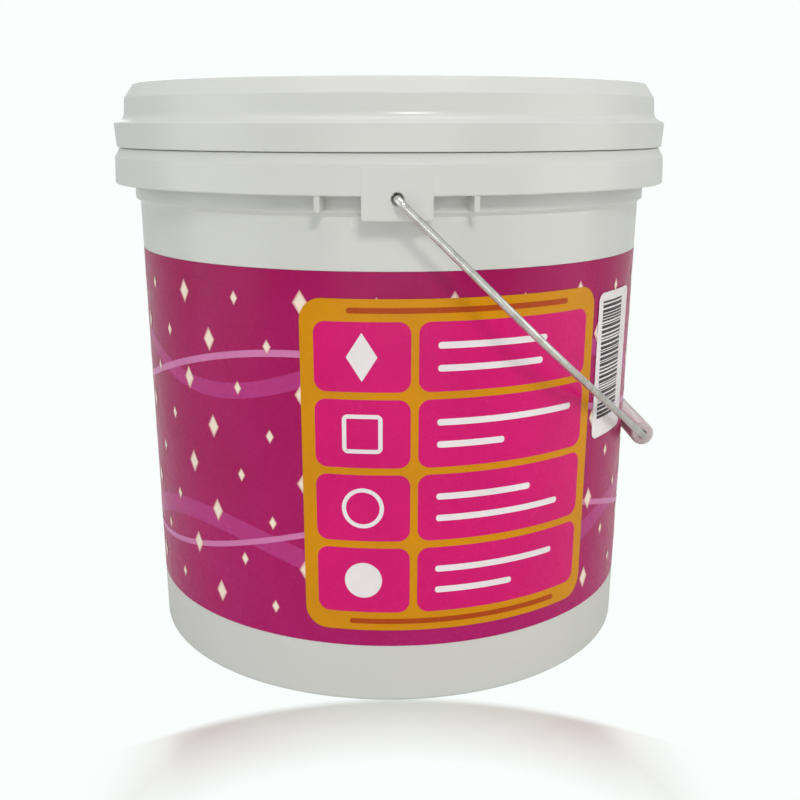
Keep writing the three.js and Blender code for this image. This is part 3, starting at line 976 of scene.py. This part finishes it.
def flat_stroke(line: np.ndarray, width: float, closed: bool = False) -> np.ndarray:
    """Gives a drawn line as a grid of two edges, each half a width to one side of the line.

    Args:
        line: The line's points, n by 2.
        width: The stroke's width.
        closed: Whether the line returns to its start.

    Returns:
        2 by n by 2.
    """
    if closed:
        line = np.concatenate([line, line[:1]])
    gap = np.linalg.norm(np.diff(line, axis=0), axis=1)
    far = np.concatenate([[0], np.cumsum(gap)])
    even = np.unique(np.concatenate([far, np.arange(0, far[-1], 1.5)]))
    line = np.stack([np.interp(even, far, line[:, i]) for i in range(2)], -1)
    way = np.gradient(line, axis=0)
    if closed:
        way[0] = way[-1] = line[1] - line[-2]
    way /= np.linalg.norm(way, axis=1, keepdims=True)
    side = np.stack([-way[:, 1], way[:, 0]], -1) * width / 2
    return np.stack([line - side, line + side])


def flat_arc(centre: tuple, radius: float, start: float = 0.0, stop: float = 360.0, count: int = 40) -> np.ndarray:
    """Gives points on a circle's arc, from one angle to another in degrees."""
    turn = np.radians(np.linspace(start, stop, count))
    return np.array(centre) + radius * np.stack([np.cos(turn), np.sin(turn)], -1)


def flat_box(left: float, right: float, low: float, high: float, corner: float) -> np.ndarray:
    """Gives the outline of a rounded rectangle."""
    left, right, low, high = left + corner, right - corner, low + corner, high - corner
    corners = ((right, high), (left, high), (left, low), (right, low))
    return np.concatenate([flat_arc(c, corner, 90 * i, 90 * i + 90, 6) for i, c in enumerate(corners)])


@dataclass
class Label:
    """The printed film round the wall, and what is printed on it.

    A printed motif is a thin sheet that stands off the film by a clearance and one step for each layer
    of ink, so that no two layers meet. Places are (along, up): the arc from -Y towards +X, and the height.
    """

    wall: Wall = field(default_factory=Wall)
    bottom: float = 26.4
    top: float = 189.9
    film: float = 0.3
    seam: float = 1.6
    clearance: float = 0.02
    step: float = 0.03
    seed: int = 11
    mark_layer: int = 11
    columns: int = 24
    lowest: float = 40.0
    pitch_up: float = 19.5
    rows: tuple = ((42.4, 71.8), (75.0, 104.4), (107.5, 136.9), (140.1, 169.5))

    def sleeve(self) -> Surface:
        """Gives the film: a thin rectangle in (proud, up), carried round from one side of the seam to the other."""
        edge = math.pi - self.seam / 2 / self.wall.mean_radius
        angles = np.linspace(-edge, edge, 361)
        heights = np.linspace(self.bottom + 0.12, self.top - 0.12, 24)
        proud = np.concatenate([np.zeros(24), np.full(24, -self.film)])
        height = np.concatenate([heights, heights[::-1]])
        section = np.stack([self.wall.radius(height) + proud, height], -1)
        rings = turned(section, angles).transpose(1, 0, 2)
        return tube(rings, rings[0].mean(0), rings[-1].mean(0))

    def proud(self, layer: int) -> float:
        """Gives how far a layer of ink stands off the film."""
        return self.clearance + self.step * layer

    def sheet(self, flat: np.ndarray, layer: int) -> Surface:
        """Lays a flat grid on the film at one layer, facing out."""
        return patch(self.wall.wrapped(flat, self.proud(layer))).off_axis()

    def motif(self, centre: tuple, edge: Callable, layer: int, around: int = 40, rings: int = 3) -> Surface:
        """Lays a motif round a middle point; u in its UV map is the share of the way out.

        Args:
            centre: The motif's middle.
            edge: The edge's distance at each angle.
            layer: The ink's layer.
            around: Points in a ring.
            rings: Rings from the middle to the edge.

        Returns:
            The sheet.
        """
        turn = np.linspace(0, math.tau, around, endpoint=False)
        share = np.linspace(0, 1, rings + 1)[1:, None]
        reach = share * edge(turn)
        flat = np.array(centre) + np.stack([reach * np.cos(turn), reach * np.sin(turn)], -1)
        values = np.stack(np.broadcast_arrays(share, turn / math.tau), -1)
        skin = patch(self.wall.wrapped(flat, self.proud(layer)), values, loop_columns=True)
        first = np.arange(around)
        fan = np.stack([np.full(around, around * rings), first, np.roll(first, -1)], -1)
        points = np.concatenate([skin.points, [self.wall.wrapped(np.array(centre, float), self.proud(layer))]])
        return Surface(points, skin.quads[:, ::-1], fan, np.concatenate([skin.values, [[0.0, 0.5]]])).off_axis()

    def lozenge(self, centre: tuple, half: float, layer: int) -> Surface:
        """Gives a lozenge: its edge lies at 1 / (|cos| / half width + |sin| / half height)."""
        def edge(angle: np.ndarray) -> np.ndarray:
            """Gives the edge's distance at each angle."""
            return 1 / (np.abs(np.cos(angle)) / half + np.abs(np.sin(angle)) / (1.6 * half))

        return self.motif(centre, edge, layer, 16, 2)

    def lattice(self) -> list[Surface]:
        """Sets large and small lozenges by turns in a staggered lattice round the label."""
        pitch = math.tau * self.wall.mean_radius / self.columns
        first = -math.pi * self.wall.mean_radius
        made = []
        for row in range(8):
            for column in range(self.columns):
                spot = (first + (column + 0.25 + 0.5 * (row % 2)) * pitch, self.lowest + self.pitch_up * row)
                made.append(self.lozenge(spot, 3.4 if (row + column) % 2 else 2.0, 4))
        return made

    def ribbon(self, level: float, swing: float, waves: int, start: float, width: float, layer: int) -> Surface:
        """Gives a wavy ribbon from seam to seam: up = level + swing times sin(waves times the angle + start)."""
        end = math.pi - self.seam / self.wall.mean_radius
        angle = np.linspace(-end, end, 400)
        up = level + swing * np.sin(waves * angle + start)
        return self.sheet(flat_stroke(np.stack([angle * self.wall.mean_radius, up], -1), width), layer)

    def white_shapes(self) -> list[Surface]:
        """Gathers what is printed in white: a plain figure and two bars in each row, and the panel of bars."""
        along, reach, stroke, layer, flats = -13.9, 7.5, 1.8, self.mark_layer, []
        levels = [sum(row) / 2 for row in self.rows]
        for level, upper, lower in zip(levels, (58.0, 44.0, 66.0, 50.0), (36.0, 60.0, 30.0, 48.0)):
            for length, low in ((upper, level + 3.4), (lower, level - 6.2)):
                flats.append(flat_panel(17.0, 17.0 + length, low, low + 2.8, 1.3))
        flats.append(flat_stroke(flat_arc((along, levels[1]), 8.0, count=60), stroke, True))
        square = flat_box(along - reach, along + reach, levels[2] - reach, levels[2] + reach, 1.5)
        flats += [flat_stroke(square, stroke, True), flat_panel(101.2, 136.0, 107.0, 174.4, 4.0)]
        disc = self.motif((along, levels[0]), lambda turn: np.full_like(turn, 8.0), layer)
        return [self.sheet(flat, layer) for flat in flats] + [disc, self.lozenge((along, levels[3]), 6.4, layer)]

    def bars(self) -> list[Surface]:
        """Stacks level bars of uneven height on the white panel, as on any packet, without numbers."""
        chance = np.random.default_rng(self.seed + 2)
        height = chance.choice([0.5, 0.9, 1.4], 44)
        gap = chance.choice([0.45, 0.8], 44)
        low = 116.0 + np.concatenate([[0], np.cumsum(height + gap)[:-1]])
        flats = [flat_panel(105.0, 126.5, u, u + h, 0.05) for u, h in zip(low, height) if u + h < 170.5]
        return [self.sheet(flat, self.mark_layer + 1) for flat in flats]

    def build(self, film: PrintedFilm) -> None:
        """Builds the film and one piece for each ink."""
        sleeve = make_piece("label_film", self.sleeve(), film.bare(), "pail", 60)
        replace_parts(sleeve, "label")
        fields = [flat_panel(*side, *row, 5.0) for row in self.rows for side in ((-33.8, 6.0), (9.2, 91.2))]
        rules = [flat_panel(-20.0, 78.0, low, low + 2.4, 1.1) for low in (37.0, 172.9)]
        wide = [self.ribbon(150.0, 15.0, 3, 0.6, 7.0, 1), self.ribbon(62.0, 13.0, 3, 4.0, 9.0, 1)]
        narrow = [self.ribbon(136.0, 19.0, 2, 2.2, 3.0, 2), self.ribbon(70.0, 17.0, 2, 1.0, 2.6, 3)]
        parts = (
            ("label_wide_ribbons", wide, film.inked(Ink.ROSE)),
            ("label_narrow_ribbons", narrow, film.inked(Ink.ORCHID)),
            ("label_lozenges", self.lattice(), film.edged()),
            ("label_panel", [self.sheet(flat_panel(-39.7, 96.9, 34.0, 178.9, 9.5), 9)], film.inked(Ink.AMBER)),
            ("label_panel_fields", [self.sheet(f, 10) for f in fields], film.inked(Ink.PINK)),
            ("label_panel_rules", [self.sheet(r, 10) for r in rules], film.inked(Ink.BRICK)),
            ("label_white_marks", self.white_shapes(), film.inked(Ink.PAPER)),
            ("label_dark_bars", self.bars(), film.inked(Ink.CARBON)),
        )
        for name, sheets, material in parts:
            make_piece(name, Surface.joined(sheets), material, "pail", 60)


def main() -> None:
    """Loads the frame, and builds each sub-assembly in order."""
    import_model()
    studio = Studio()
    studio.place_camera()
    studio.set_world()
    studio.lay_floor()
    studio.light()
    white = MouldedPolypropylene().made()
    Pail().build(white)
    Label().build(PrintedFilm())
    Lid().build(white)
    Bail().build(ZincCoatedWire().made(), MilkyPolythene().made())
    view = bpy.context.scene.view_settings
    view.view_transform = "Standard"
    bpy.context.view_layer.update()


if __name__ == "__main__":
    logging.basicConfig(level=logging.INFO, format="%(name)s: %(message)s")
    main()
